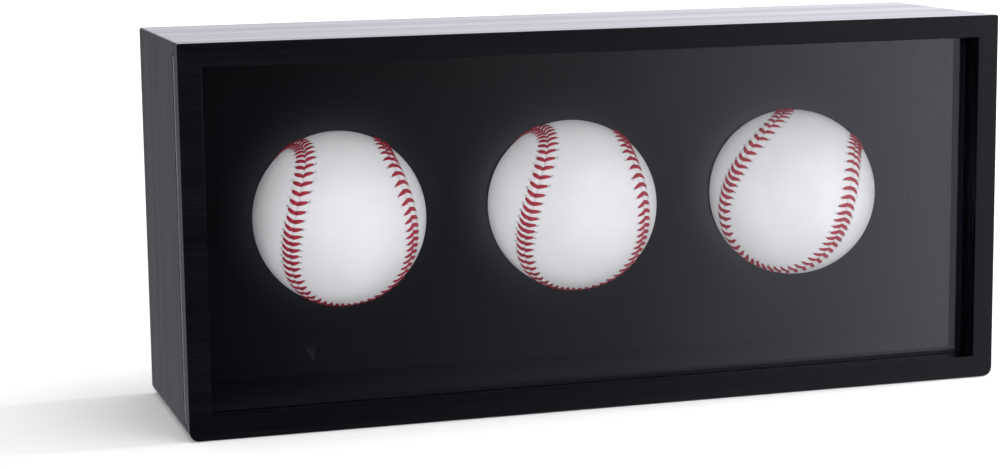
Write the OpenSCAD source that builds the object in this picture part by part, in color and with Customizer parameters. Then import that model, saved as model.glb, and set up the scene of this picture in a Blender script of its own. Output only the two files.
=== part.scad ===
// Shadow box for three baseballs. A mitred black case has a clear cover that slides out
// through a slot in its left side, a panel with round seats for the balls, and a screwed back.
// The origin is the centre of the underside: +X right, -Y to the viewer, +Z up. Millimetres.

/* [Case] */
// Width over the two side boards
case_w = 356; // [340:1:380]
// Depth from front edge to rear edge
case_d = 96; // [94:1:110]
// Height over the top and bottom boards
case_h = 159; // [145:1:190]
// Thickness of the four boards
board_t = 9.5; // [9:0.5:12]
// Radius of the two rounded lower edges
lower_edge_r = 4; // [2:0.5:5]
// Radius of the two upper edges
upper_edge_r = 1; // [0.5:0.25:2]

/* [Clear cover] */
// Distance from the front edge to the cover
lip_d = 8.5; // [6:0.5:10]
// Thickness of the clear sheet
cover_t = 3; // [2:0.5:3]
// Depth of the grooves that hold the sheet
groove_depth = 4.5; // [3:0.5:5]
// Clearance in front of the sheet and round its edges
cover_clearance = 0.3; // [0.2:0.05:0.5]
// Clearance behind the sheet
rear_clearance = 0.5; // [0.3:0.05:0.8]
// Depth of the sheet's end below the outside of the left board
cover_inset = 0.1; // [0:0.1:1]

/* [Panels] */
// Distance from the front edge to the ball panel
ball_panel_at = 65; // [64:0.5:67]
// Thickness of the ball panel
ball_panel_t = 4; // [3:0.5:5]
// Depth of the dado that holds the ball panel
dado_depth = 3.8; // [3:0.1:4.5]
// Radius of each round seat
seat_r = 34; // [34:0.25:36]
// Thickness of the back panel
back_panel_t = 4; // [3:0.5:4]
// Depth of the back panel below the rear edges
back_recess = 3.5; // [3:0.1:4]
// Width of the rear rabbet
rabbet_w = 5; // [4:0.5:5.5]

/* [Hangers] */
// Distance between the two hangers
hanger_pitch = 203.2; // [150:0.1:240]
// Height of the hangers' centres
hanger_at = 130; // [120:1:135]
// Radius of the keyhole's entry
keyhole_r = 4.75; // [4.5:0.25:5]
// Half the width of the keyhole's slot
keyhole_slot_r = 2.25; // [2:0.25:2.5]

/* [Balls] */
// Radius of a ball over its leather
ball_r = 36.7; // [36.4:0.1:37]
// Distance between the centres of neighbouring balls
ball_pitch = 103.5; // [84:0.5:106]
// Distance from the front edge to the balls' centres
ball_at = 49; // [49:0.1:49.5]
// Thickness of the leather
leather_t = 1.3; // [1:0.1:1.5]
// Radius of the cork and rubber core
core_r = 17.4; // [16:0.1:18]
// Number of V stitches round one ball
stitch_count = 108; // [80:1:108]

/* [Hidden] */

$fn = 48;
cut_past = 1;
half_w = case_w / 2;
half_d = case_d / 2;
front = -half_d;

// Boards and joints
spline_t = 2;
spline_w = 8;
spline_front_gap = 18;
spline_rear_gap = 8.5;
spline_from = front + spline_front_gap;
spline_to = half_d - spline_rear_gap;

// Clear cover and its groove
groove_front = front + lip_d - cover_clearance;
groove_w = cover_t + cover_clearance + rear_clearance;
groove_low = board_t - groove_depth;
groove_high = case_h - groove_low;
groove_end = half_w - groove_low;

// Panels
ball_panel_front = front + ball_panel_at;
panel_play = 0.3;
dado_edge = board_t - dado_depth;
rabbet_edge = board_t - rabbet_w;
back_panel_rear = half_d - back_recess;
back_panel_front = back_panel_rear - back_panel_t;

// Back panel screws
screw_r = 1.3;
screw_hole_r = 1.5;
pilot_r = 1;
screw_head_r = 2.8;
screw_head_h = 1.6;
screw_head_gap = 0.1;
screw_length = 16;
screw_tip_h = 2;
screw_tip_r = 0.3;
drive_r = 1;
drive_depth = 0.8;
shoulder = board_t - rabbet_w / 2;
screw_columns = [-0.42, -0.15, 0.15, 0.42];
screw_rows = [0.3, 0.7];
back_screw_places = concat(
    [for (column = screw_columns) [column * case_w, shoulder]],
    [for (column = screw_columns) [column * case_w, case_h - shoulder]],
    [for (row = screw_rows, side = [-1, 1]) [side * (half_w - shoulder), row * case_h]]
);

// Keyhole hangers
hanger_w = 16;
hanger_h = 38;
hanger_t = 1.2;
entry_drop = 3;
slot_top = 7;
hanger_screw_offset = 15;
hanger_screw_hole_r = 1.6;
hanger_screw_r = 1.4;
hanger_pilot_r = 1.1;
hanger_screw_head_r = 2.7;
hanger_screw_head_h = 1.5;
hanger_screw_length = 4.6;
pocket_r = 6.5;
pocket_low = -2.5;
pocket_high = 5.5;

// Balls: centre, and the turn that each one lies at, about X, then Y, then Z.
// The lining's flat facets reach inside its own radius by less than the lining sag.
ball_y = front + ball_at;
ball_z = case_h / 2;
lining_sag = 0.5;
winding_r = ball_r - leather_t - lining_sag;
core_gap = 0.1;
left_turn = [-17, -1, 179];
middle_turn = [-18, -6, 176];
right_turn = [-5, -23, 152];

// Seam line: it swings between the poles while it goes once round
seam_reach = 64;
seam_round = 2;
seam_sway = 15;
seam_pace = 12.5;
seam_gap = 0.25;
lobe_rows = 18;
lobe_columns = 10;
lobe_tip = 1.5;

// V stitches
stitch_reach = 3.8;
stitch_back = 1.8;
stitch_w = 1.2;
stitch_top = 0.35;
stitch_bottom = -0.5;

wood = [0.09, 0.09, 0.10];
card = [0.06, 0.06, 0.07];
clear = [0.80, 0.86, 0.90, 0.25];
zinc = [0.72, 0.72, 0.70];
leather = [0.93, 0.92, 0.90];
thread = [0.66, 0.08, 0.14];
yarn = [0.80, 0.78, 0.72];
cork = [0.35, 0.16, 0.10];

// Stands a flat shape up, with its thickness running from y = from to y = to
module upright(from, to) {
    translate([0, to, 0])
        rotate([90, 0, 0])
            linear_extrude(to - from)
                children();
}

// Box given by two opposite corners
module block(low, high) {
    translate(low)
        cube(high - low);
}

module case_outline() {
    translate([-half_w, lower_edge_r])
        square([case_w, case_h - lower_edge_r - upper_edge_r]);
    translate([-half_w + lower_edge_r, 0])
        square([case_w - 2 * lower_edge_r, case_h / 2]);
    translate([-half_w + upper_edge_r, case_h / 2])
        square([case_w - 2 * upper_edge_r, case_h / 2]);
    for (side = [-1, 1]) {
        translate([side * (half_w - lower_edge_r), lower_edge_r])
            circle(lower_edge_r);
        translate([side * (half_w - upper_edge_r), case_h - upper_edge_r])
            circle(upper_edge_r);
    }
}

// Four corners in turn, starting at the lower left, moved inward by a distance
function corner(place, inward) = [
    (place == 0 || place == 3 ? -1 : 1) * (half_w - inward),
    place < 2 ? inward : case_h - inward
];

// One board of the case, between two neighbouring corners, cut at 45 degrees at both ends
module board(start, end) {
    color(wood)
        difference() {
            upright(front, half_d)
                intersection() {
                    case_outline();
                    polygon([
                        corner(start, 0),
                        corner(end, 0),
                        corner(end, board_t),
                        corner(start, board_t)
                    ]);
                }
            // Groove for the clear cover, open at the left side
            block(
                [-half_w - cut_past, groove_front, groove_low],
                [groove_end, groove_front + groove_w, groove_high]
            );
            // Dado for the ball panel
            block(
                [-half_w + dado_edge, ball_panel_front, dado_edge],
                [half_w - dado_edge, ball_panel_front + ball_panel_t, case_h - dado_edge]
            );
            // Rabbet for the back panel
            block(
                [-half_w + rabbet_edge, back_panel_front, rabbet_edge],
                [half_w - rabbet_edge, half_d + cut_past, case_h - rabbet_edge]
            );
            corner_spline(start);
            corner_spline(end);
            back_screw_holes(pilot_r, screw_length - back_panel_t);
        }
}

module corner_spline(place) {
    middle = corner(place, board_t / 2);
    lean = place == 0 || place == 2 ? -45 : 45;
    upright(spline_from, spline_to)
        translate(middle)
            rotate(lean)
                square([spline_w, spline_t], center = true);
}

// Row of holes that start at the back panel's front face and run into the boards
module back_screw_holes(radius, depth) {
    for (place = back_screw_places)
        translate([place[0], back_panel_front + cut_past, place[1]])
            rotate([90, 0, 0])
                cylinder(h = depth + cut_past, r = radius, $fn = 24);
}

module corner_splines() {
    color("burlywood")
        for (place = [0:3])
            corner_spline(place);
}

module front_cover() {
    color(clear)
        block(
            [-half_w + cover_inset, front + lip_d, groove_low + cover_clearance],
            [groove_end - cover_clearance, front + lip_d + cover_t, groove_high - cover_clearance]
        );
}

module ball_panel() {
    color(card)
        upright(ball_panel_front, ball_panel_front + ball_panel_t)
            difference() {
                translate([-half_w + dado_edge + panel_play, dado_edge + panel_play])
                    square([
                        case_w - 2 * (dado_edge + panel_play),
                        case_h - 2 * (dado_edge + panel_play)
                    ]);
                for (column = [-1:1])
                    translate([column * ball_pitch, ball_z])
                        circle(seat_r, $fn = 96);
            }
}

// Stadium-shaped outline, upright, from low to high along the second axis
module stadium(radius, low, high) {
    translate([-radius, low])
        square([2 * radius, high - low]);
    translate([0, low])
        circle(radius);
    translate([0, high])
        circle(radius);
}

module back_panel() {
    color(card)
        difference() {
            block(
                [-half_w + rabbet_edge + panel_play, back_panel_front, rabbet_edge + panel_play],
                [half_w - rabbet_edge - panel_play, back_panel_rear,
                    case_h - rabbet_edge - panel_play]
            );
            // Countersunk holes for the screws
            for (place = back_screw_places)
                translate([place[0], back_panel_rear, place[1]])
                    rotate([90, 0, 0]) {
                        translate([0, 0, -cut_past])
                            cylinder(h = back_panel_t + 2 * cut_past, r = screw_hole_r);
                        cylinder(h = screw_head_h, r1 = screw_head_r, r2 = screw_hole_r);
                    }
            // Pockets for the heads of the wall screws, and pilot holes for the hangers
            for (side = [-1, 1])
                translate([side * hanger_pitch / 2, 0, hanger_at]) {
                    upright(back_panel_front - cut_past, back_panel_rear + cut_past)
                        stadium(pocket_r, pocket_low, pocket_high);
                    for (end = [-1, 1])
                        upright(back_panel_rear - hanger_screw_length, back_panel_rear + cut_past)
                            translate([0, end * hanger_screw_offset])
                                circle(hanger_pilot_r);
                }
        }
}

// Countersunk screw with its head's flat face at the origin, pointing to -Y
module flat_screw() {
    rotate([90, 0, 0])
        difference() {
            union() {
                cylinder(h = screw_head_h, r1 = screw_head_r - screw_head_gap, r2 = screw_r);
                cylinder(h = screw_length - screw_tip_h, r = screw_r);
                translate([0, 0, screw_length - screw_tip_h])
                    cylinder(h = screw_tip_h, r1 = screw_r, r2 = screw_tip_r);
            }
            translate([0, 0, -cut_past])
                cylinder(h = drive_depth + cut_past, r = drive_r, $fn = 4);
        }
}

module back_panel_screws() {
    color(zinc)
        for (place = back_screw_places)
            translate([place[0], back_panel_rear, place[1]])
                flat_screw();
}

module hanger(side) {
    color(zinc)
        translate([side * hanger_pitch / 2, 0, hanger_at])
            upright(back_panel_rear, back_panel_rear + hanger_t)
                difference() {
                    stadium(hanger_w / 2, -(hanger_h - hanger_w) / 2, (hanger_h - hanger_w) / 2);
                    translate([0, -entry_drop])
                        circle(keyhole_r);
                    stadium(keyhole_slot_r, -entry_drop, slot_top);
                    for (end = [-1, 1])
                        translate([0, end * hanger_screw_offset])
                            circle(hanger_screw_hole_r);
                }
}

module hanger_screws() {
    head_face = back_panel_rear + hanger_t;
    color(zinc)
        for (side = [-1, 1], end = [-1, 1])
            translate([
                side * hanger_pitch / 2,
                head_face,
                hanger_at + end * hanger_screw_offset
            ])
                rotate([90, 0, 0])
                    difference() {
                        union() {
                            translate([0, 0, -hanger_screw_head_h])
                                cylinder(h = hanger_screw_head_h, r = hanger_screw_head_r);
                            cylinder(h = hanger_screw_length, r = hanger_screw_r);
                        }
                        translate([0, 0, -hanger_screw_head_h - cut_past])
                            cylinder(h = drive_depth + cut_past, r = drive_r, $fn = 4);
                    }
}

// Places a ball's pieces at its centre and at its own turn
module ball_place(column, turn) {
    translate([column * ball_pitch, ball_y, ball_z])
        rotate(turn)
            children();
}

module ball_core(column, turn) {
    color(cork)
        ball_place(column, turn)
            sphere(core_r, $fn = 64);
}

module ball_winding(column, turn) {
    color(yarn)
        ball_place(column, turn)
            difference() {
                sphere(winding_r, $fn = 96);
                sphere(core_r + core_gap, $fn = 64);
            }
}

// Direction of the seam line at step t, in degrees, with one round from 0 to 720
function seam_tilt(t) = 90 - seam_reach * cos(t) + seam_round * cos(3 * t);
function seam_heading(t) = t / 2 + seam_sway * sin(2 * t);
function seam(t) = [
    sin(seam_tilt(t)) * cos(seam_heading(t)),
    sin(seam_tilt(t)) * sin(seam_heading(t)),
    cos(seam_tilt(t))
];

// One row across the leather's two lobes: where it lies, and half its angular width
function lobe_angle(t) = atan2(seam(t)[1], seam(t)[2]);
function lobe_half(t) = asin(seam(t)[0]) - seam_gap;
function lobe_point(t, share, radius) = radius * [
    sin(share * lobe_half(t)),
    cos(share * lobe_half(t)) * sin(lobe_angle(t)),
    cos(share * lobe_half(t)) * cos(lobe_angle(t))
];
function lobe_layer(radius) = [
    for (row = [-lobe_rows:lobe_rows], column = [0:lobe_columns])
        lobe_point(row * (180 - lobe_tip) / lobe_rows, 2 * column / lobe_columns - 1, radius)
];

// Figure-eight piece of leather: two round lobes joined by a waist, bent over the winding
module leather_piece() {
    last_row = 2 * lobe_rows;
    wide = lobe_columns + 1;
    layer = (last_row + 1) * wide;
    skin = [
        for (row = [0:last_row - 1], column = [0:lobe_columns - 1])
            let (a = row * wide + column)
                [a, a + 1, a + wide + 1, a + wide]
    ];
    lining = [for (quad = skin) [for (k = [3:-1:0]) quad[k] + layer]];
    sides = [
        for (row = [0:last_row - 1], edge = [0, lobe_columns])
            let (a = row * wide + edge, b = a + wide)
                edge == 0 ? [a, b, b + layer, a + layer] : [b, a, a + layer, b + layer]
    ];
    ends = [
        for (column = [0:lobe_columns - 1], row = [0, last_row])
            let (a = row * wide + column, b = a + 1)
                row == 0 ? [b, a, a + layer, b + layer] : [a, b, b + layer, a + layer]
    ];
    polyhedron(
        points = concat(lobe_layer(ball_r), lobe_layer(ball_r - leather_t)),
        faces = concat(skin, lining, sides, ends)
    );
}

module ball_upper_leather(column, turn) {
    color(leather)
        ball_place(column, turn)
            leather_piece();
}

module ball_lower_leather(column, turn) {
    color(leather)
        ball_place(column, turn)
            rotate(a = 180, v = [1, 1, 0])
                leather_piece();
}

function unit(v) = v / norm(v);

// Outline of one V stitch that points along the seam, on a plane square to the ball's radius
function stitch_ring(t, height) =
    let (
        up = seam(t),
        along = unit(seam(t + 1) - seam(t - 1)),
        aside = cross(along, up),
        corners = [
            [stitch_w / 2, 0],
            [stitch_w / 2 - stitch_back, stitch_reach],
            [-stitch_w / 2 - stitch_back, stitch_reach],
            [-stitch_w / 2, 0],
            [-stitch_w / 2 - stitch_back, -stitch_reach],
            [stitch_w / 2 - stitch_back, -stitch_reach]
        ]
    )
    [for (place = corners) height * up + place[0] * along + place[1] * aside];

// Evenly spaced steps along the seam line
function stitch_step(k) =
    let (u = 720 * k / stitch_count)
    u + seam_pace * sin(2 * u);

module ball_stitching(column, turn) {
    one_stitch = [
        [0, 1, 2, 3], [0, 3, 4, 5],
        [9, 8, 7, 6], [11, 10, 9, 6],
        [1, 0, 6, 7], [2, 1, 7, 8], [3, 2, 8, 9],
        [4, 3, 9, 10], [5, 4, 10, 11], [0, 5, 11, 6]
    ];
    color(thread)
        ball_place(column, turn)
            polyhedron(
                points = [
                    for (k = [0:stitch_count - 1], height = [stitch_top, stitch_bottom])
                        each stitch_ring(stitch_step(k), ball_r + height)
                ],
                faces = [
                    for (k = [0:stitch_count - 1], face = one_stitch)
                        [for (corner = face) corner + 12 * k]
                ]
            );
}

board(3, 2);  // top_board
board(0, 1);  // bottom_board
board(0, 3);  // left_board
board(1, 2);  // right_board
corner_splines();
front_cover();
ball_panel();
back_panel();
back_panel_screws();
hanger(-1);  // left_hanger
hanger(1);  // right_hanger
hanger_screws();
ball_core(-1, left_turn);  // left_ball_core
ball_winding(-1, left_turn);  // left_ball_winding
ball_upper_leather(-1, left_turn);  // left_ball_upper_leather
ball_lower_leather(-1, left_turn);  // left_ball_lower_leather
ball_stitching(-1, left_turn);  // left_ball_stitching
ball_core(0, middle_turn);  // middle_ball_core
ball_winding(0, middle_turn);  // middle_ball_winding
ball_upper_leather(0, middle_turn);  // middle_ball_upper_leather
ball_lower_leather(0, middle_turn);  // middle_ball_lower_leather
ball_stitching(0, middle_turn);  // middle_ball_stitching
ball_core(1, right_turn);  // right_ball_core
ball_winding(1, right_turn);  // right_ball_winding
ball_upper_leather(1, right_turn);  // right_ball_upper_leather
ball_lower_leather(1, right_turn);  // right_ball_lower_leather
ball_stitching(1, right_turn);  // right_ball_stitching
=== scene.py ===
import math
import random

import bmesh
import bpy
from mathutils import Euler, Matrix, Vector, kdtree


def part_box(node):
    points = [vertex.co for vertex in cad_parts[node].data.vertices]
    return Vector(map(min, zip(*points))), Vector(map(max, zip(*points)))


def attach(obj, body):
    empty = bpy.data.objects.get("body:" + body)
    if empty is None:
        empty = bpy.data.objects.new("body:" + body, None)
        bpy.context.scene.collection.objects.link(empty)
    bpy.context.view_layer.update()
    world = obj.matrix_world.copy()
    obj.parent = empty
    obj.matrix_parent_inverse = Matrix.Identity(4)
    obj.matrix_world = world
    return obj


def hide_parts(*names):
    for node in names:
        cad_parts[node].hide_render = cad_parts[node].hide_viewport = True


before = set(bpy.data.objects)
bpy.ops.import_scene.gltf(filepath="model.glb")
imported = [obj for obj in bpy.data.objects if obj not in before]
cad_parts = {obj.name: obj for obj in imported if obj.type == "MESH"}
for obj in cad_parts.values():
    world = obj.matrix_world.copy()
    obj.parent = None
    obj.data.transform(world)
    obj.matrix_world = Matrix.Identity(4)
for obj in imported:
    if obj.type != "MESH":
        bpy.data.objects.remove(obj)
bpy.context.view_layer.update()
mm = 0.001
print("frame loaded:", len(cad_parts), "nodes")


# ---- small tools for the bench

def pickNothing():
    if bpy.context.object is not None and bpy.context.object.mode != "OBJECT":
        bpy.ops.object.mode_set(mode="OBJECT")
    bpy.ops.object.select_all(action="DESELECT")


def pickOnly(piece):
    pickNothing()
    piece.select_set(True)
    bpy.context.view_layer.objects.active = piece


def settle(piece):
    # leaves the piece's place in its mesh and its object at the origin
    pickOnly(piece)
    bpy.ops.object.transform_apply(location=True, rotation=True, scale=True)


def addBlock(name, low, high):
    pickNothing()
    low, high = Vector(low), Vector(high)
    bpy.ops.mesh.primitive_cube_add(size=1, location=(low + high) / 2, scale=high - low)
    piece = bpy.context.object
    piece.name = name
    settle(piece)
    return piece


def addRod(name, start, end, radius, sides):
    # a round bar between two points
    pickNothing()
    start, end = Vector(start), Vector(end)
    bpy.ops.mesh.primitive_cone_add(
        vertices=sides, radius1=radius, radius2=radius,
        depth=(end - start).length, location=(start + end) / 2,
        rotation=(end - start).to_track_quat("Z", "Y").to_euler())
    piece = bpy.context.object
    piece.name = name
    settle(piece)
    return piece


def applyModifier(piece, kind, **settings):
    pickOnly(piece)
    modifier = piece.modifiers.new("step", kind)
    for key, value in settings.items():
        setattr(modifier, key, value)
    bpy.ops.object.modifier_apply(modifier=modifier.name)


def cutAway(piece, *cutters):
    for cutter in cutters:
        applyModifier(piece, "BOOLEAN", operation="DIFFERENCE", solver="EXACT", object=cutter)
        bpy.data.objects.remove(cutter, do_unlink=True)


def joinOn(piece, *others):
    pickOnly(piece)
    for other in others:
        other.select_set(True)
    bpy.ops.object.join()


def easeEdges(piece, width, segments=2, angle=30):
    applyModifier(piece, "BEVEL", width=width, segments=segments, limit_method="ANGLE",
                  angle_limit=math.radians(angle), harden_normals=False)
    smoothBy(piece, angle)


def smoothBy(piece, angle=30):
    pickOnly(piece)
    bpy.ops.object.shade_smooth_by_angle(angle=math.radians(angle))


def keepFlat(piece):
    # the large faces stay flat in the light, and only the eased edges turn
    applyModifier(piece, "WEIGHTED_NORMAL", mode="FACE_AREA", weight=100, keep_sharp=True)


def selectEdges(piece, wanted):
    # edit mode with only the wanted edges selected; wanted looks at an edge's two ends
    pickOnly(piece)
    bpy.ops.object.mode_set(mode="EDIT")
    bpy.ops.mesh.select_mode(type="EDGE")
    bpy.ops.mesh.select_all(action="DESELECT")
    mesh = bmesh.from_edit_mesh(piece.data)
    for edge in mesh.edges:
        if wanted(edge.verts[0].co, edge.verts[1].co):
            edge.select_set(True)
    bmesh.update_edit_mesh(piece.data)


def copyOf(piece, name):
    other = piece.copy()
    other.data = piece.data.copy()
    other.name = name
    bpy.context.collection.objects.link(other)
    return other


def dress(piece, material):
    piece.data.materials.clear()
    piece.data.materials.append(material)


def dressNode(node, material):
    # a CAD node keeps its mesh and only gets a new finish
    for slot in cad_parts[node].material_slots:
        slot.material = material


def handIn(piece, body, slotName, *nodes):
    piece.name = nodes[0] + "_piece"
    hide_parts(*nodes)
    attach(piece, body)


# ---- finishes

class Wire:
    # one socket of a finish; sums on wires add Math nodes
    def __init__(self, finish, socket):
        self.finish = finish
        self.socket = socket

    def __add__(self, other):
        return self.finish.sum("ADD", self, other)

    def __radd__(self, other):
        return self.finish.sum("ADD", other, self)

    def __sub__(self, other):
        return self.finish.sum("SUBTRACT", self, other)

    def __rsub__(self, other):
        return self.finish.sum("SUBTRACT", other, self)

    def __mul__(self, other):
        return self.finish.sum("MULTIPLY", self, other)

    def __rmul__(self, other):
        return self.finish.sum("MULTIPLY", other, self)

    def __truediv__(self, other):
        return self.finish.sum("DIVIDE", self, other)

    def __pow__(self, other):
        return self.finish.sum("POWER", self, other)

    def __gt__(self, other):
        return self.finish.sum("GREATER_THAN", self, other)

    def __lt__(self, other):
        return self.finish.sum("LESS_THAN", self, other)

    def __abs__(self):
        return self.finish.sum("ABSOLUTE", self, 0)


class Finish:
    # a material under construction
    def __init__(self, name):
        self.material = bpy.data.materials.new(name)
        self.material.use_nodes = True
        self.tree = self.material.node_tree
        self.tree.nodes.clear()

    def put(self, kind, settings=None, sockets=None, out=0):
        node = self.tree.nodes.new(kind)
        for key, value in (settings or {}).items():
            if key == "stops":
                self.setStops(node, value)
            else:
                setattr(node, key, value)
        for key, value in (sockets or {}).items():
            if isinstance(value, Wire):
                self.tree.links.new(value.socket, node.inputs[key])
            else:
                node.inputs[key].default_value = value
        return Wire(self, node.outputs[out])

    def setStops(self, node, stops):
        ends = node.color_ramp.elements
        ends[1].position, ends[0].position = stops[-1][0], stops[0][0]
        ends[1].color, ends[0].color = [(stops[k][1],) * 3 + (1,) for k in (-1, 0)]
        for place, value in stops[1:-1]:
            ends.new(place).color = (value, value, value, 1)

    def sum(self, operation, a, b):
        return self.put("ShaderNodeMath", {"operation": operation}, {0: a, 1: b})

    def place(self):
        # where the point is on the object, in millimetres
        spot = self.put("ShaderNodeTexCoord", out=3)
        return self.put("ShaderNodeVectorMath", {"operation": "SCALE"}, {0: spot, 3: 1 / mm})

    def parts(self, vector):
        node = self.put("ShaderNodeSeparateXYZ", sockets={0: vector}).socket.node
        return [Wire(self, socket) for socket in node.outputs]

    def pack(self, x, y, z):
        return self.put("ShaderNodeCombineXYZ", sockets={0: x, 1: y, 2: z})

    def stretch(self, vector, factors):
        return self.put("ShaderNodeVectorMath", {"operation": "MULTIPLY"},
                        {0: vector, 1: factors})

    def noise(self, vector, scale, detail, rough):
        return self.put("ShaderNodeTexNoise", {"noise_dimensions": "3D"},
                        {"Vector": vector, "Scale": scale, "Detail": detail, "Roughness": rough})

    def cells(self, vector, scale, out=0):
        return self.put("ShaderNodeTexVoronoi", None, {"Vector": vector, "Scale": scale}, out)

    def ramp(self, value, *stops):
        return self.put("ShaderNodeValToRGB", {"stops": stops}, {0: value})

    def blend(self, share, a, b):
        return self.put("ShaderNodeMix", {"data_type": "RGBA"}, {0: share, 6: a, 7: b}, 2)

    def bump(self, height, strength, distance):
        return self.put("ShaderNodeBump", sockets={
            "Height": height, "Strength": strength, "Distance": distance})

    def close(self, surface):
        output = self.tree.nodes.new("ShaderNodeOutputMaterial")
        self.tree.links.new(surface.socket, output.inputs["Surface"])
        return self.material

    def principled(self, **sockets):
        names = {key.replace("_", " "): value for key, value in sockets.items()}
        return self.close(self.put("ShaderNodeBsdfPrincipled", sockets=names))


def colour(red, green, blue):
    return (red, green, blue, 1)


def facing(finish):
    # three masks: faces square to X, to Y and to Z
    normal = finish.put("ShaderNodeNewGeometry", out=1)
    return [abs(part) > 0.7 for part in finish.parts(normal)]


def makeBlackWood():
    # black lacquer over straight grain: lines run along X, and up the side faces
    grain = {"along": 0.012, "across": 1.6, "streakAcross": 0.16, "darkest": 0.0012,
             "lightest": 0.0030, "smoothest": 0.20, "roughest": 0.31,
             "relief": 0.22, "reliefHigh": 0.00010, "sheen": 0.26}
    # the matt inside begins behind the clear sheet; its finish is duller, and its colour is painted
    # lighter than the lacquer's, painted light standing in for the light the shaded inner faces miss
    inside = {"halfWide": 168.7, "halfHigh": 70.2, "middle": 79.5, "from": -36, "duller": 0.45,
              "sheen": 0.08, "darkest": colour(0.0060, 0.0068, 0.0115),
              "lightest": colour(0.0084, 0.0095, 0.0155)}
    f = Finish("blackWood")
    x, y, z = f.parts(f.place())
    side, front, top = facing(f)
    level = 1 - side
    lineX = x * (level * grain["along"] + side * 0.1)
    lineY = y * (top * grain["across"] + side * grain["across"] + front * 0.1)
    lineZ = z * (front * grain["across"] + side * grain["along"] + top * 0.1)
    lines = f.noise(f.pack(lineX, lineY, lineZ), 1.0, 5.0, 0.65)
    share = grain["streakAcross"] / grain["across"]
    streaks = f.noise(f.stretch(f.pack(lineX, lineY, lineZ), (share, share, share)), 1.0, 3.0, 0.5)
    tone = f.ramp(lines * 0.6 + streaks * 0.4, (0.36, 0.0), (0.64, 1.0))
    darkest, lightest = grain["darkest"], grain["lightest"]
    base = f.blend(tone, colour(darkest, darkest * 0.9, darkest * 1.7),
                   colour(lightest, lightest * 0.94, lightest * 1.4))
    within = (abs(x) < inside["halfWide"]) * (abs(z - inside["middle"]) < inside["halfHigh"]) \
        * (y > inside["from"])
    dull = grain["smoothest"] + f.ramp(streaks * 0.5 + lines * 0.5, (0.35, 0.0), (0.65, 1.0)) \
        * (grain["roughest"] - grain["smoothest"]) + within * inside["duller"]
    relief = f.bump(lines * (1 - within * 0.8) * (1 - top * 0.5), grain["relief"],
                    grain["reliefHigh"])
    lacquer = f.put("ShaderNodeBsdfPrincipled", sockets={
        "Base Color": base, "Roughness": dull, "Normal": relief, "IOR": 1.5,
        "Specular IOR Level": grain["sheen"]})
    # the inside's colour is painted lighter: a painted fill light on the shaded inner faces
    matt = f.put("ShaderNodeBsdfPrincipled", sockets={
        "Base Color": f.blend(tone, inside["darkest"], inside["lightest"]),
        "Roughness": dull, "IOR": 1.5, "Specular IOR Level": inside["sheen"]})
    return f.close(f.put("ShaderNodeMixShader", sockets={0: within, 1: lacquer, 2: matt}))


def makeClearSheet():
    # clear acrylic: what it doesn't mirror passes straight through; a little dust lies on it,
    # and its sawn end catches the light
    dust = {"cell": 0.055, "speck": 0.016, "kept": 0.72, "strength": 0.30}
    sawnEnd = {"x": -177.7, "frost": 0.12}
    mark = {"at": (-125.5, 30.5), "width": 0.16, "strength": 0.02, "strokes": (
        ((-1.9, 2.4), (0.4, -1.0)), ((1.7, 3.6), (0.4, -1.0)), ((0.4, -1.0), (0.7, -3.4)))}
    bend = 1.49    # refractive index
    f = Finish("clearSheet")
    x, y, z = f.parts(f.place())
    flat = f.pack(x, 0.0, z)
    near = f.cells(flat, dust["cell"]) < dust["speck"]
    chosen = f.put("ShaderNodeSeparateColor", sockets={
        0: f.cells(flat, dust["cell"], out=1)}) > dust["kept"]
    specks = near * chosen * dust["strength"] + (x < sawnEnd["x"]) * sawnEnd["frost"]
    for start, end in mark["strokes"]:
        # distance from a short straight scratch
        a = Vector(mark["at"]) + Vector(start)
        run = Vector(end) - Vector(start)
        along = ((x - a.x) * run.x + (z - a.y) * run.y) / run.length_squared
        held = f.put("ShaderNodeClamp", sockets={0: along})
        offX = x - a.x - held * run.x
        offZ = z - a.y - held * run.y
        specks = specks + ((offX * offX + offZ * offZ) < mark["width"] ** 2) * mark["strength"]
    mirror = f.put("ShaderNodeBsdfGlossy", sockets={
        "Color": colour(1, 1, 1), "Roughness": 0.015})
    through = f.put("ShaderNodeBsdfTransparent", sockets={"Color": colour(0.985, 0.99, 0.992)})
    leaving = f.put("ShaderNodeNewGeometry", out=6)    # 1 where a ray comes from within
    gloss = f.put("ShaderNodeFresnel", sockets={
        "IOR": bend * (1 - leaving) + leaving * (1 / bend)})
    clear = f.put("ShaderNodeMixShader", sockets={0: gloss, 1: through, 2: mirror})
    fluff = f.put("ShaderNodeBsdfDiffuse", sockets={"Color": colour(0.5, 0.5, 0.53)})
    return f.close(f.put("ShaderNodeMixShader", sockets={0: specks, 1: clear, 2: fluff}))


def makeBlackCard():
    # deep black matt card, with a painted glow: greyed where the balls throw a little light back on
    # it
    glint = {"middles": (-103.5, 0, 103.5), "height": 79.5, "reach": 60,
             "grey": colour(0.034, 0.035, 0.042)}
    f = Finish("blackCard")
    spot = f.place()
    tooth = f.noise(spot, 0.9, 2.0, 0.5)
    cloud = f.noise(spot, 0.02, 2.0, 0.5)
    x, y, z = f.parts(spot)
    halo = 0
    # a painted glow ring around each ball seat, in the card's colour
    for middle in glint["middles"]:
        away = ((x - middle) ** 2 + (z - glint["height"]) ** 2) ** 0.5 / glint["reach"]
        halo = halo + f.ramp(away, (0.58, 1.0), (0.64, 0.5), (0.71, 0.2), (0.85, 0.0))
    base = f.blend(f.ramp(tooth * 0.3 + cloud * 0.7, (0.35, 0.0), (0.65, 1.0)),
                   colour(0.0022, 0.0025, 0.0044), colour(0.0040, 0.0045, 0.0075))
    return f.principled(Base_Color=f.blend(halo, base, glint["grey"]),
                        Roughness=0.6 + tooth * 0.15, IOR=1.45, Specular_IOR_Level=0.2)


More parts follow.
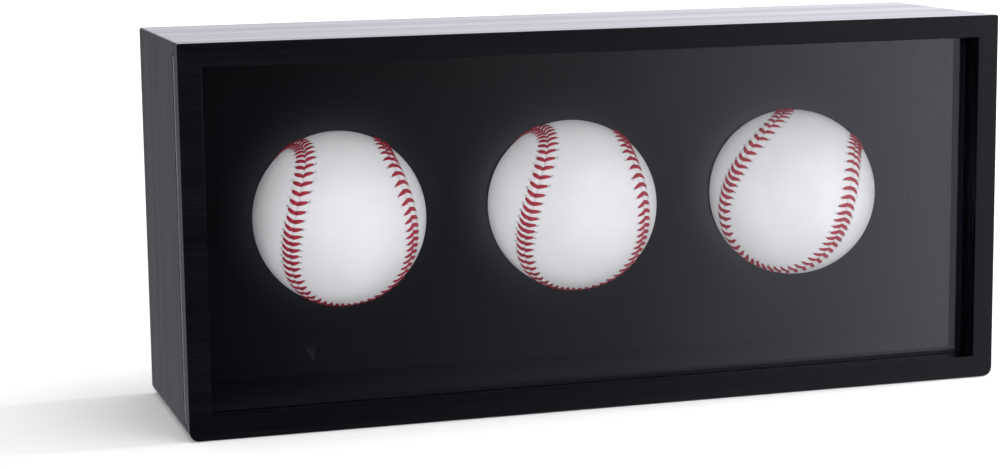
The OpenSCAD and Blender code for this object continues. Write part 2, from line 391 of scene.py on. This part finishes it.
def makeHardboard():
    # black stained fibreboard with short random fibres
    f = Finish("hardboard")
    spot = f.place()
    fibres = f.noise(f.stretch(spot, (0.5, 1.0, 1.6)), 1.3, 6.0, 0.7)
    cloud = f.noise(spot, 0.03, 3.0, 0.5)
    base = f.blend(f.ramp(fibres * 0.6 + cloud * 0.4, (0.35, 0.0), (0.7, 1.0)),
                   colour(0.016, 0.015, 0.015), colour(0.045, 0.043, 0.041))
    return f.principled(Base_Color=base, Roughness=0.6 + fibres * 0.25,
                        Normal=f.bump(fibres, 0.35, 0.0001))


def makeZinc():
    # zinc plated steel with a faint spangle and rub marks
    f = Finish("zincSteel")
    spot = f.place()
    spangle = f.cells(spot, 0.7)
    rub = f.noise(f.stretch(spot, (0.4, 2.0, 3.0)), 1.2, 5.0, 0.6)
    base = f.blend(spangle * 0.5 + rub * 0.4, colour(0.42, 0.42, 0.41), colour(0.72, 0.71, 0.68))
    return f.principled(Base_Color=base, Metallic=1.0, Roughness=0.24 + rub * 0.26,
                        Normal=f.bump(rub, 0.15, 0.00004))


def makePaleWood():
    # bare hardwood of the corner splines
    f = Finish("paleWood")
    grain = f.noise(f.stretch(f.place(), (1.2, 0.06, 1.2)), 1.4, 5.0, 0.6)
    base = f.blend(grain, colour(0.50, 0.34, 0.18), colour(0.72, 0.56, 0.36))
    return f.principled(Base_Color=base, Roughness=0.55 + grain * 0.2,
                        Normal=f.bump(grain, 0.3, 0.0001))


def makeLeather():
    # smooth white leather and faint pores; the seam is greyed with dirt and painted shade, and the
    # needle holes are painted dark as painted shade
    f = Finish("whiteLeather")
    spot = f.place()
    pores = f.cells(spot, 1.5)
    creases = f.noise(spot, 0.55, 6.0, 0.6)
    cloud = f.noise(spot, 0.045, 3.0, 0.5)
    inSeam = f.put("ShaderNodeAttribute", {"attribute_name": "inSeam"}, out=2)
    holeShade = f.put("ShaderNodeAttribute", {"attribute_name": "needleHole"}, out=2)
    clean = f.blend(f.ramp(cloud * 0.7 + creases * 0.3, (0.38, 0.0), (0.64, 1.0)),
                    colour(0.652, 0.636, 0.655), colour(0.697, 0.682, 0.700))
    # grey in the seam: dirt and painted shade in its gutter; dark in the needle holes: painted shade
    withSeamDirtAndShade = f.blend(inSeam, clean, colour(0.62, 0.60, 0.61))
    base = f.blend(holeShade, withSeamDirtAndShade, colour(0.04, 0.012, 0.016))
    skin = f.ramp(pores, (0.0, 0.0), (0.45, 1.0)) * 0.35 + creases
    return f.principled(Base_Color=base, Roughness=0.40 + creases * 0.16, IOR=1.45,
                        Specular_IOR_Level=0.42, Diffuse_Roughness=0.65,
                        Normal=f.bump(skin, 0.16, 0.00010))


def makeThread():
    # waxed red thread: its plies show as slanted ridges, and painted shade darkens it where it dives
    f = Finish("redThread")
    u, v, w = f.parts(f.put("ShaderNodeUVMap", {"uv_map": "UVMap"}))
    plies = f.put("ShaderNodeMath", {"operation": "SINE"}, {0: (u * 2 + v * 9) * (2 * math.pi)})
    diveShade = f.put("ShaderNodeAttribute", {"attribute_name": "threadDive"}, out=2)
    fuzz = f.noise(f.place(), 3.0, 3.0, 0.6)
    lit = f.blend(fuzz * 0.6 + plies * 0.2 + 0.2, colour(0.23, 0.006, 0.020),
                  colour(0.42, 0.020, 0.050))
    base = f.blend(diveShade, lit, colour(0.045, 0.003, 0.008))
    return f.principled(Base_Color=base, Roughness=0.5 + fuzz * 0.2,
                        Normal=f.bump(plies * 0.5 + fuzz, 0.4, 0.00012))


def makeYarn():
    # wool wound in slanting turns
    f = Finish("woolYarn")
    spot = f.place()
    turns = f.put("ShaderNodeTexWave", {"wave_type": "BANDS", "bands_direction": "DIAGONAL"},
                  {"Vector": spot, "Scale": 0.35, "Distortion": 6.0, "Detail": 3.0}, 1)
    base = f.blend(turns, colour(0.42, 0.39, 0.33), colour(0.70, 0.67, 0.60))
    return f.principled(Base_Color=base, Roughness=0.8 + turns * 0.1,
                        Normal=f.bump(turns, 0.6, 0.0004))


def makeCork():
    # red rubber with crumbs of cork
    f = Finish("corkRubber")
    crumbs = f.cells(f.place(), 0.8)
    base = f.blend(crumbs, colour(0.10, 0.02, 0.012), colour(0.34, 0.10, 0.06))
    return f.principled(Base_Color=base, Roughness=0.6 + crumbs * 0.2,
                        Normal=f.bump(crumbs, 0.4, 0.0002))


blackWood = makeBlackWood()
clearSheet = makeClearSheet()
blackCard = makeBlackCard()
hardboard = makeHardboard()
zincSteel = makeZinc()
paleWood = makePaleWood()
whiteLeather = makeLeather()
redThread = makeThread()
woolYarn = makeYarn()
corkRubber = makeCork()
print("finishes mixed")


# ---- the case: one mitred ring, sawn into its four boards

case = {
    "boardThick": 9.5 * mm,
    "lowerRound": 4 * mm,
    "upperRound": 1 * mm,
    "easedEdge": 0.35 * mm,
    "grooveDepth": 4.5 * mm,
    "grooveFront": 0.3 * mm,     # clearance before and behind the clear sheet
    "grooveBehind": 0.5 * mm,
    "dadoDepth": 3.8 * mm,
    "rabbetWide": 5 * mm,
    "saw": 2 * mm,               # how far a cutter runs past the wood
}


def makeCaseRing():
    low = Vector(map(min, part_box("bottom_board")[0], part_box("left_board")[0]))
    high = Vector(map(max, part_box("top_board")[1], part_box("right_board")[1]))
    ring = addBlock("ring", low, high)
    for level, radius, steps in ((low.z, case["lowerRound"], 8), (high.z, case["upperRound"], 4)):
        selectEdges(ring, lambda a, b: abs(a.z - level) < mm and abs(b.z - level) < mm
                    and abs(a.x - b.x) < mm and abs(a.y - b.y) > mm)
        bpy.ops.mesh.bevel(offset=radius, segments=steps, profile=0.5)
        bpy.ops.object.mode_set(mode="OBJECT")
    thick, saw = case["boardThick"], case["saw"]
    inner = Vector((thick, -saw, thick))
    hollow = addBlock("hollow", low + inner, high - inner)
    sheetLow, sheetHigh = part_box("front_cover")
    grooveEdge = thick - case["grooveDepth"]
    groove = addBlock(
        "groove",
        (low.x - saw, sheetLow.y - case["grooveFront"], low.z + grooveEdge),
        (high.x - grooveEdge, sheetHigh.y + case["grooveBehind"], high.z - grooveEdge))
    panelLow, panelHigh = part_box("ball_panel")
    dadoEdge = thick - case["dadoDepth"]
    dado = addBlock("dado", (low.x + dadoEdge, panelLow.y, low.z + dadoEdge),
                    (high.x - dadoEdge, panelHigh.y, high.z - dadoEdge))
    rabbetEdge = thick - case["rabbetWide"]
    rabbet = addBlock("rabbet", (low.x + rabbetEdge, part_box("back_panel")[0].y, low.z + rabbetEdge),
                      (high.x - rabbetEdge, high.y + saw, high.z - rabbetEdge))
    cutAway(ring, hollow, groove, dado, rabbet)
    easeEdges(ring, case["easedEdge"], 2, 40)
    return ring, low, high


def sawOff(piece, at, towards):
    # keeps what lies behind the cut and closes it
    pickOnly(piece)
    bpy.ops.object.mode_set(mode="EDIT")
    bpy.ops.mesh.select_all(action="SELECT")
    bpy.ops.mesh.bisect(plane_co=at, plane_no=towards, use_fill=True, clear_outer=True)
    bpy.ops.object.mode_set(mode="OBJECT")


def makeBoards():
    ring, low, high = makeCaseRing()
    middle = (low.z + high.z) / 2
    lowerLeft, lowerRight = Vector((low.x, 0, low.z)), Vector((high.x, 0, low.z))
    upperLeft, upperRight = Vector((low.x, 0, high.z)), Vector((high.x, 0, high.z))
    cuts = {
        "left_board": ((lowerLeft, (1, 0, -1)), (upperLeft, (1, 0, 1))),
        "right_board": ((lowerRight, (-1, 0, -1)), (upperRight, (-1, 0, 1))),
        "top_board": ((Vector((0, 0, middle)), (0, 0, -1)), (upperLeft, (-1, 0, -1)),
                      (upperRight, (1, 0, -1))),
        "bottom_board": ((Vector((0, 0, middle)), (0, 0, 1)), (lowerLeft, (-1, 0, 1)),
                         (lowerRight, (1, 0, 1))),
    }
    for node, planes in cuts.items():
        board = copyOf(ring, node)
        for at, towards in planes:
            sawOff(board, at, towards)
        smoothBy(board, 35)
        keepFlat(board)
        dress(board, blackWood)
        handIn(board, "case", "black_wood", node)
    bpy.data.objects.remove(ring, do_unlink=True)


makeBoards()
dressNode("corner_splines", paleWood)
print("case built")


# ---- clear cover, ball panel and back

panels = {"sheetEdge": 0.3 * mm, "seatRadius": 34 * mm, "seatEdge": 0.5 * mm, "seatSides": 128}

sheet = addBlock("sheet", *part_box("front_cover"))
easeEdges(sheet, panels["sheetEdge"], 2, 40)
keepFlat(sheet)
dress(sheet, clearSheet)
handIn(sheet, "cover", "clear_acrylic", "front_cover")

ballNames = ("left_ball", "middle_ball", "right_ball")


def ballCentre(name):
    low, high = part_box(name + "_winding")
    return (low + high) / 2


panelLow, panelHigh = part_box("ball_panel")
ballPanel = addBlock("ballPanel", panelLow, panelHigh)
for ballName in ballNames:
    centre = ballCentre(ballName)
    cutAway(ballPanel, addRod("seat", (centre.x, panelLow.y - mm, centre.z),
                              (centre.x, panelHigh.y + mm, centre.z), panels["seatRadius"],
                              panels["seatSides"]))
easeEdges(ballPanel, panels["seatEdge"], 3, 40)
keepFlat(ballPanel)
dress(ballPanel, blackCard)
handIn(ballPanel, "case", "black_panel", "ball_panel")

dressNode("back_panel", hardboard)
for node in ("back_panel_screws", "left_hanger", "right_hanger", "hanger_screws"):
    dressNode(node, zincSteel)
print("cover and panels built")


# ---- the balls

ball = {
    "leatherRadius": 36.6 * mm,
    "leatherThick": 1.0 * mm,
    "stitches": 108,
    "rowsAStitch": 7,
    "columns": 48,
    "seamReach": math.radians(64),   # how far the seam swings from the ball's waist
    "seamRound": math.radians(2),
    "seamSway": math.radians(15),
    "seamPace": math.radians(12.5),  # evens out the steps along the seam
    "turns": {"left_ball": (-17, -1, 179), "middle_ball": (-18, -6, 176),
              "right_ball": (-5, -23, 152)},
}

thread = {
    "reach": 4.7 * mm,       # from the seam to the needle hole
    "lean": 1.5 * mm,        # how far the hole lies behind the V's point
    "pitch": 3.93 * mm,      # from one V to the next
    "halfWide": 0.95 * mm,
    "halfThick": 0.36 * mm,
    "rings": 8,
    "sides": 7,
}


def seamPoint(step):
    # direction of the seam line; once round is 4 pi
    tilt = math.pi / 2 - ball["seamReach"] * math.cos(step) + ball["seamRound"] * math.cos(3 * step)
    heading = step / 2 + ball["seamSway"] * math.sin(2 * step)
    return Vector((math.sin(tilt) * math.cos(heading), math.sin(tilt) * math.sin(heading),
                   math.cos(tilt)))


def evenStep(share):
    # share runs from 0 to 1 once round the seam
    even = 4 * math.pi * share
    return even + ball["seamPace"] * math.sin(2 * even)


def makeSeamTree(samples):
    tree = kdtree.KDTree(samples)
    for k in range(samples):
        tree.insert(seamPoint(evenStep(k / samples)), k)
    tree.balance()
    return tree


seamSamples = 8640
seamTree = makeSeamTree(seamSamples)


def hump(value, middle, width):
    return math.exp(-((value - middle) / width) ** 2)


def leatherRise(away, phase):
    # height of the leather over the plain ball; away from the seam in mm, phase 0 under a stitch
    between = 0.5 - 0.5 * math.cos(2 * math.pi * phase)
    rim = 0.32 * hump(away, 1.6, 1.4)
    puff = 0.16 * between * hump(away, 2.3, 1.2)
    gutter = -0.35 * hump(away, 0, 0.35)
    hole = -0.45 * hump(away, thread["reach"] / mm, 0.5) * (1 - between) ** 3
    return (rim + puff + gutter + hole) * mm


def seamPlace(direction):
    # distance from the seam in mm, and how far along it in stitches
    _, index, chord = seamTree.find(direction)
    away = 2 * math.asin(min(1, chord / 2)) * ball["leatherRadius"] / mm
    return away, index / seamSamples * ball["stitches"]


def makeLeatherPiece():
    # a flat grid bent into a figure eight: rows cross its two lobes, columns crowd to the seam
    rows = ball["stitches"] // 2 * ball["rowsAStitch"]
    pickNothing()
    bpy.ops.mesh.primitive_grid_add(x_subdivisions=rows, y_subdivisions=ball["columns"], size=2)
    piece = bpy.context.object
    mesh = piece.data
    inSeam = mesh.attributes.new("inSeam", "FLOAT", "POINT")
    needleHole = mesh.attributes.new("needleHole", "FLOAT", "POINT")
    tip = 0.997
    for vertex in mesh.vertices:
        edge = seamPoint(evenStep(vertex.co.x * tip / 4))
        half = math.asin(edge.x)
        angle = math.atan2(edge.y, edge.z)
        across = math.sin(vertex.co.y * math.pi / 2) * half
        direction = Vector((math.sin(across), math.cos(across) * math.sin(angle),
                            math.cos(across) * math.cos(angle)))
        away, along = seamPlace(direction)
        lean = min(away * mm / thread["reach"], 1) * thread["lean"]
        phase = along + lean / thread["pitch"]
        between = 0.5 - 0.5 * math.cos(2 * math.pi * phase)
        vertex.co = direction * (ball["leatherRadius"] + leatherRise(away, phase))
        # masks for the colour: seam grey is part dirt, part painted shade; needle holes get painted
        # shade
        inSeam.data[vertex.index].value = min(1, 0.8 * hump(away, 0, 0.4))
        needleHole.data[vertex.index].value = hump(away, thread["reach"] / mm, 0.42) \
            * (1 - between) ** 8
    return piece


def closePiece(piece):
    pickOnly(piece)
    bpy.ops.object.mode_set(mode="EDIT")
    bpy.ops.mesh.select_all(action="SELECT")
    bpy.ops.mesh.remove_doubles(threshold=0.000002)
    bpy.ops.mesh.normals_make_consistent(inside=False)
    bpy.ops.object.mode_set(mode="OBJECT")
    applyModifier(piece, "SOLIDIFY", thickness=ball["leatherThick"], offset=-1)
    smoothBy(piece, 60)


def makeStitch():
    # one arm of a V: a short thread along X, cut into rings, then bent and tapered
    pickNothing()
    bpy.ops.mesh.primitive_cylinder_add(vertices=thread["sides"], radius=1, depth=1,
                                        location=(0.5, 0, 0), rotation=(0, math.pi / 2, 0))
    arm = bpy.context.object
    settle(arm)
    bpy.ops.object.mode_set(mode="EDIT")
    for k in range(1, thread["rings"]):
        bpy.ops.mesh.select_all(action="SELECT")
        bpy.ops.mesh.bisect(plane_co=(k / thread["rings"], 0, 0), plane_no=(1, 0, 0))
    bpy.ops.object.mode_set(mode="OBJECT")
    diveShade = arm.data.attributes.new("threadDive", "FLOAT", "POINT")
    for vertex in arm.data.vertices:
        share = min(1, max(0, vertex.co.x))
        swell = 0.30 + 0.70 * math.sin(math.pi * min(1, 0.26 + share * 0.74)) ** 0.8
        lift = 0.34 - 0.30 * hump(share, 0, 0.10) - 0.95 * hump(share, 1.04, 0.13)
        away = thread["reach"] * share
        behind = -thread["lean"] * share ** 1.3
        # painted shade at the arm's end, where the thread dives into its hole
        diveShade.data[vertex.index].value = min(1, hump(share, 1.02, 0.12))
        vertex.co = (behind + vertex.co.y * thread["halfWide"] * swell, away,
                     lift * mm * 0.8 + vertex.co.z * thread["halfThick"] * swell)
    other = copyOf(arm, "otherArm")
    pickOnly(other)
    bpy.ops.object.mode_set(mode="EDIT")
    bpy.ops.mesh.select_all(action="SELECT")
    bpy.ops.transform.resize(value=(1, -1, 1), center_override=(0, 0, 0))
    bpy.ops.mesh.flip_normals()
    bpy.ops.object.mode_set(mode="OBJECT")
    joinOn(arm, other)
    arm.name = "stitch"
    return arm


def wrapStitch(stitch, k):
    # lays a copy of the stitch on the ball at the k-th step of the seam
    step = evenStep(k / ball["stitches"])
    up = seamPoint(step)
    ahead = (seamPoint(step + 0.01) - seamPoint(step - 0.01)).normalized()
    aside = ahead.cross(up)
    piece = copyOf(stitch, "stitchCopy")
    slack = 1 + random.uniform(-0.04, 0.04)
    for vertex in piece.data.vertices:
        along, away, height = vertex.co
        direction = (up * ball["leatherRadius"] + ahead * along + aside * away * slack).normalized()
        rise = leatherRise(abs(away) / mm, 0)
        vertex.co = direction * (ball["leatherRadius"] + rise + height)
    return piece


def turnOnto(piece, name):
    turn = Euler([math.radians(a) for a in ball["turns"][name]], "XYZ").to_matrix().to_4x4()
    piece.data.transform(Matrix.Translation(ballCentre(name)) @ turn)


def makeBalls():
    random.seed(9)
    upper = makeLeatherPiece()
    closePiece(upper)
    lower = copyOf(upper, "lower")
    lower.data.transform(Matrix.Rotation(math.pi, 4, Vector((1, 1, 0))))
    stitch = makeStitch()
    stitches = [wrapStitch(stitch, k) for k in range(ball["stitches"])]
    joinOn(stitches[0], *stitches[1:])
    smoothBy(stitches[0], 60)
    for name in ballNames:
        for source, part, finish, slotName in (
                (upper, "upper_leather", whiteLeather, "white_leather"),
                (lower, "lower_leather", whiteLeather, "white_leather"),
                (stitches[0], "stitching", redThread, "red_thread")):
            piece = copyOf(source, part)
            turnOnto(piece, name)
            dress(piece, finish)
            handIn(piece, name, slotName, name + "_" + part)
        dressNode(name + "_winding", woolYarn)
        dressNode(name + "_core", corkRubber)
    for spare in (upper, lower, stitch, stitches[0]):
        bpy.data.objects.remove(spare, do_unlink=True)


makeBalls()
print("balls sewn")


# ---- floor, light and camera

studio = {
    "floorSize": 12.0,
    "floorDrop": 0.2 * mm,
    "skyStrength": 0.72,
    "floorGlow": 0.9,
    "domeRadius": 11.0,
    "mirrorRadius": 9.0,
    "lamps": {   # place, power, size
        "key": ((0.9, -1.8, 1.4), 7.0, 1.6),
        "fill": ((-1.0, -2.05, 0.6), 40.0, 1.6),
        "overhead": ((0.3, -0.5, 2.4), 16.0, 1.2),
        "side": ((2.0, 0.0, 0.6), 52.0, 0.5),    # low, for the long shadow to the left
    },
}


def glow(name, tint, make):
    f = Finish(name)
    shade = f.put("ShaderNodeVectorMath", {"operation": "SCALE"}, {0: tint, 3: make(f)})
    return f.close(f.put("ShaderNodeEmission", sockets={"Color": shade, "Strength": 1.0}))


def seenOnlyBy(piece, camera=False, glossy=False):
    piece.visible_camera = camera
    piece.visible_glossy = glossy
    piece.visible_diffuse = False
    piece.visible_transmission = camera
    piece.visible_shadow = False
    piece.visible_volume_scatter = False


def makeDome(name, radius):
    pickNothing()
    bpy.ops.mesh.primitive_uv_sphere_add(segments=64, ring_count=32, radius=radius)
    dome = bpy.context.object
    dome.name = name
    bpy.ops.object.shade_smooth()
    return dome


def mirroredRoom(f):
    # what glossy faces see: dark before the case, brighter to the right, white behind and above
    spot = f.put("ShaderNodeVectorMath", {"operation": "NORMALIZE"},
                 {0: f.put("ShaderNodeTexCoord", out=3)})
    x, y, z = f.parts(spot)
    right = f.ramp(x * 0.5 + 0.5, (0.56, 0.0), (0.591, 0.02), (0.6235, 0.09), (0.668, 0.27),
                   (0.704, 0.64), (0.7325, 1.05), (0.80, 1.2))
    behind = f.ramp(y * 0.5 + 0.5, (0.50, 0.0), (0.72, 1.0))
    left = f.ramp(x * 0.5 + 0.5, (0.38, 0.13), (0.46, 0.22), (0.57, 1.0))
    above = f.ramp(z * 0.5 + 0.5, (0.60, 0.0), (0.85, 1.0))
    below = f.ramp(z * 0.5 + 0.5, (0.38, 1.0), (0.47, 0.0))
    back = behind * left * (1.4 + x * x * 2.2 + below * 0.15)
    front = (1 - behind) * right * (1 + z * 0.6)
    return front + back + above * 0.5


def makeStudio():
    floorHalf = studio["floorSize"] / 2
    pickNothing()
    bpy.ops.mesh.primitive_plane_add(size=studio["floorSize"],
                                     location=(0, 0, -studio["floorDrop"]))
    floor = bpy.context.object
    floor.name = "floor"
    f = Finish("paleFloor")
    spot = f.place()
    mottle = f.noise(spot, 0.004, 3.0, 0.5)
    x, y, z = f.parts(spot)
    # it glows further out, so it meets the backdrop without a line
    far = f.ramp((x * x + y * y) ** 0.5 / 4000, (0.10, 0.0), (0.35, 0.5), (0.9, 1.0))
    dress(floor, f.principled(
        Base_Color=f.blend(mottle, colour(0.82, 0.82, 0.82), colour(0.85, 0.85, 0.85)),
        Roughness=0.9, Specular_IOR_Level=0.1, Emission_Strength=studio["floorGlow"],
        Emission_Color=f.blend(far, colour(0, 0, 0), colour(1, 1, 1))))
    floor.visible_glossy = False

    world = bpy.data.worlds.new("sky")
    bpy.context.scene.world = world
    world.use_nodes = True
    world.node_tree.nodes["Background"].inputs[0].default_value = colour(1, 1, 1)
    world.node_tree.nodes["Background"].inputs[1].default_value = studio["skyStrength"]

    backdrop = makeDome("backdrop", studio["domeRadius"])
    dress(backdrop, glow("backdropGlow", (1, 1, 1), lambda f: 1.05))
    seenOnlyBy(backdrop, camera=True)
    room = makeDome("mirroredRoom", studio["mirrorRadius"])
    dress(room, glow("roomGlow", (0.975, 0.97, 1.07), mirroredRoom))
    seenOnlyBy(room, glossy=True)

    for name, (at, power, size) in studio["lamps"].items():
        lamp = bpy.data.lights.new(name, "AREA")
        lamp.size = size
        lamp.energy = power
        stand = bpy.data.objects.new(name, lamp)
        bpy.context.collection.objects.link(stand)
        stand.location = at
        stand.rotation_euler = (Vector((0, 0, 0.08)) - stand.location).to_track_quat(
            "-Z", "Y").to_euler()
        stand.visible_glossy = False


camera = {
    "at": (-0.3294, -0.9732, 0.2318),
    "heading": 16.93,    # turned to the right from straight ahead, degrees
    "pitch": -9.13,
    "roll": -0.73,
    "lens": 86.2,
}


def makeCamera():
    data = bpy.data.cameras.new("camera")
    data.lens = camera["lens"]
    data.sensor_width = 36
    heading, pitch, roll = (math.radians(camera[k]) for k in ("heading", "pitch", "roll"))
    ahead = Vector((math.sin(heading) * math.cos(pitch), math.cos(heading) * math.cos(pitch),
                    math.sin(pitch)))
    right = Vector((math.cos(heading), -math.sin(heading), 0))
    up = right.cross(ahead)
    tiltedRight = right * math.cos(roll) + up * math.sin(roll)
    tiltedUp = up * math.cos(roll) - right * math.sin(roll)
    turn = Matrix((tiltedRight, tiltedUp, -ahead)).transposed().to_4x4()
    eye = bpy.data.objects.new("camera", data)
    bpy.context.collection.objects.link(eye)
    eye.matrix_world = Matrix.Translation(Vector(camera["at"])) @ turn
    bpy.context.scene.camera = eye


makeStudio()
makeCamera()
bpy.context.scene.view_settings.view_transform = "Standard"
print("studio set")
